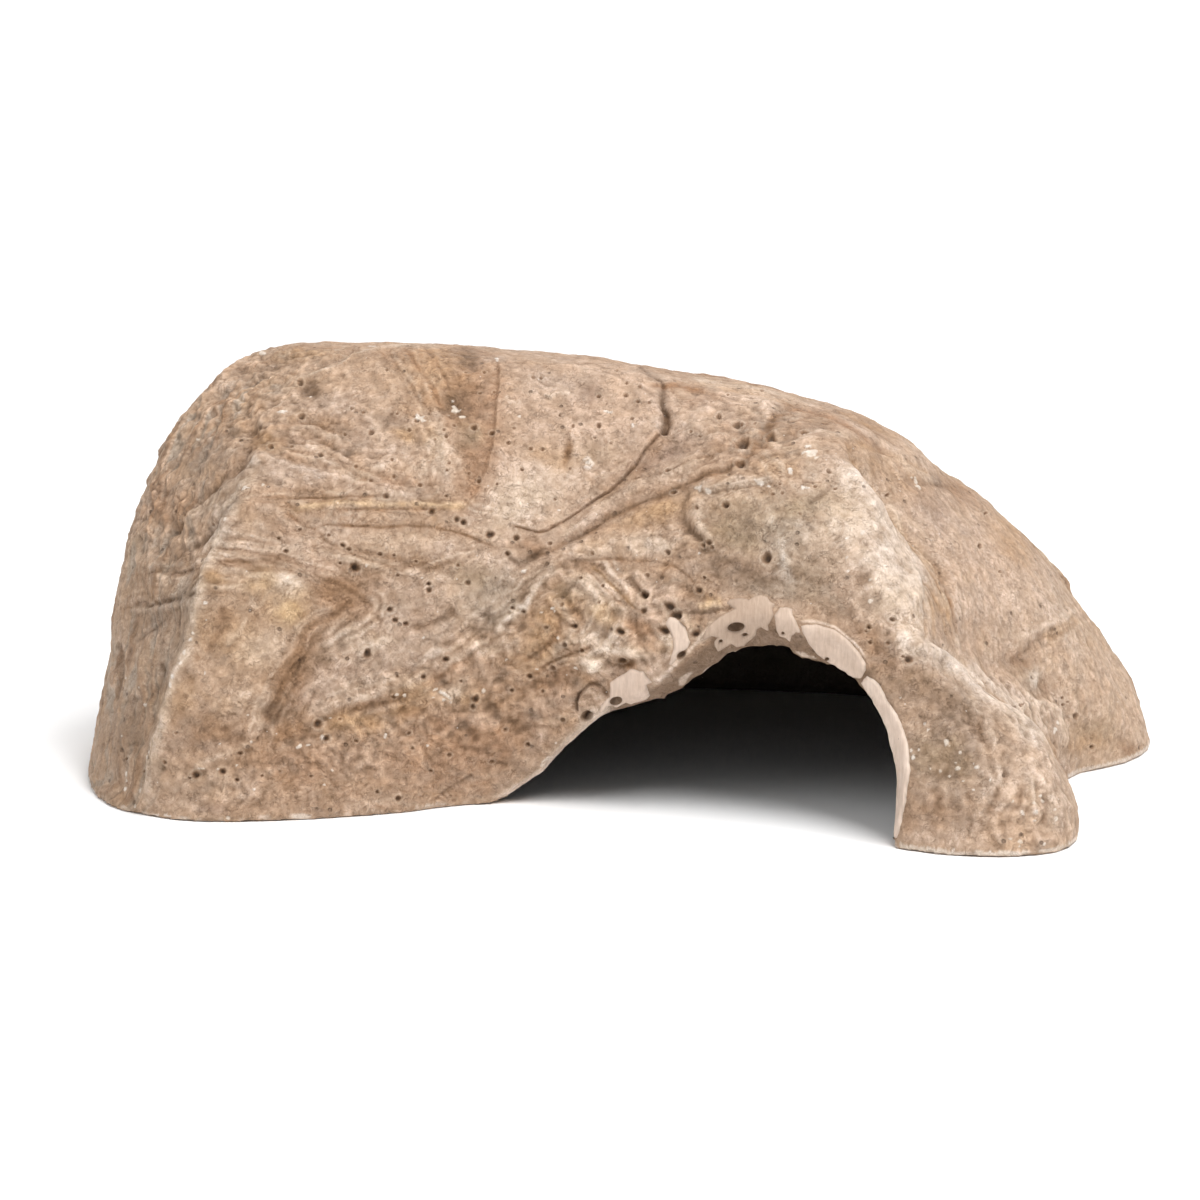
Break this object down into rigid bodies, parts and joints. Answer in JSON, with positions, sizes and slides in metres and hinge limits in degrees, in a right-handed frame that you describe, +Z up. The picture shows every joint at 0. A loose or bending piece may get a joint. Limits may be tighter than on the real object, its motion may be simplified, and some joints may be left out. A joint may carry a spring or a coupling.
{
  "type": "resin cave ornament",
  "caption": "Hollow rock-shaped resin hide with an arched entrance low in one side, open underneath, for a pond, aquarium or terrarium.",
  "frame": {"origin": "on the floor, at the middle of the base's bounding box", "axes": "+Z up, +X along the length from the blunt end to the end with the leg, -Y the side with the entrance"},
  "size_m": [0.2624, 0.1746, 0.101],
  "materials": {
    "painted_resin": "matt, sand-coloured rock paint with brown washes over stone-filled cast resin",
    "pale_resin": "matt, bare pale stone-filled resin"
  },
  "bodies": {
    "root": {"cast_shell": "painted_resin", "lip_patch_left": "pale_resin", "lip_patch_tongue": "pale_resin", "lip_patch_crown": "pale_resin", "lip_patch_block": "pale_resin", "lip_patch_right": "pale_resin", "jamb_patch": "pale_resin"}
  },
  "joints": []
}
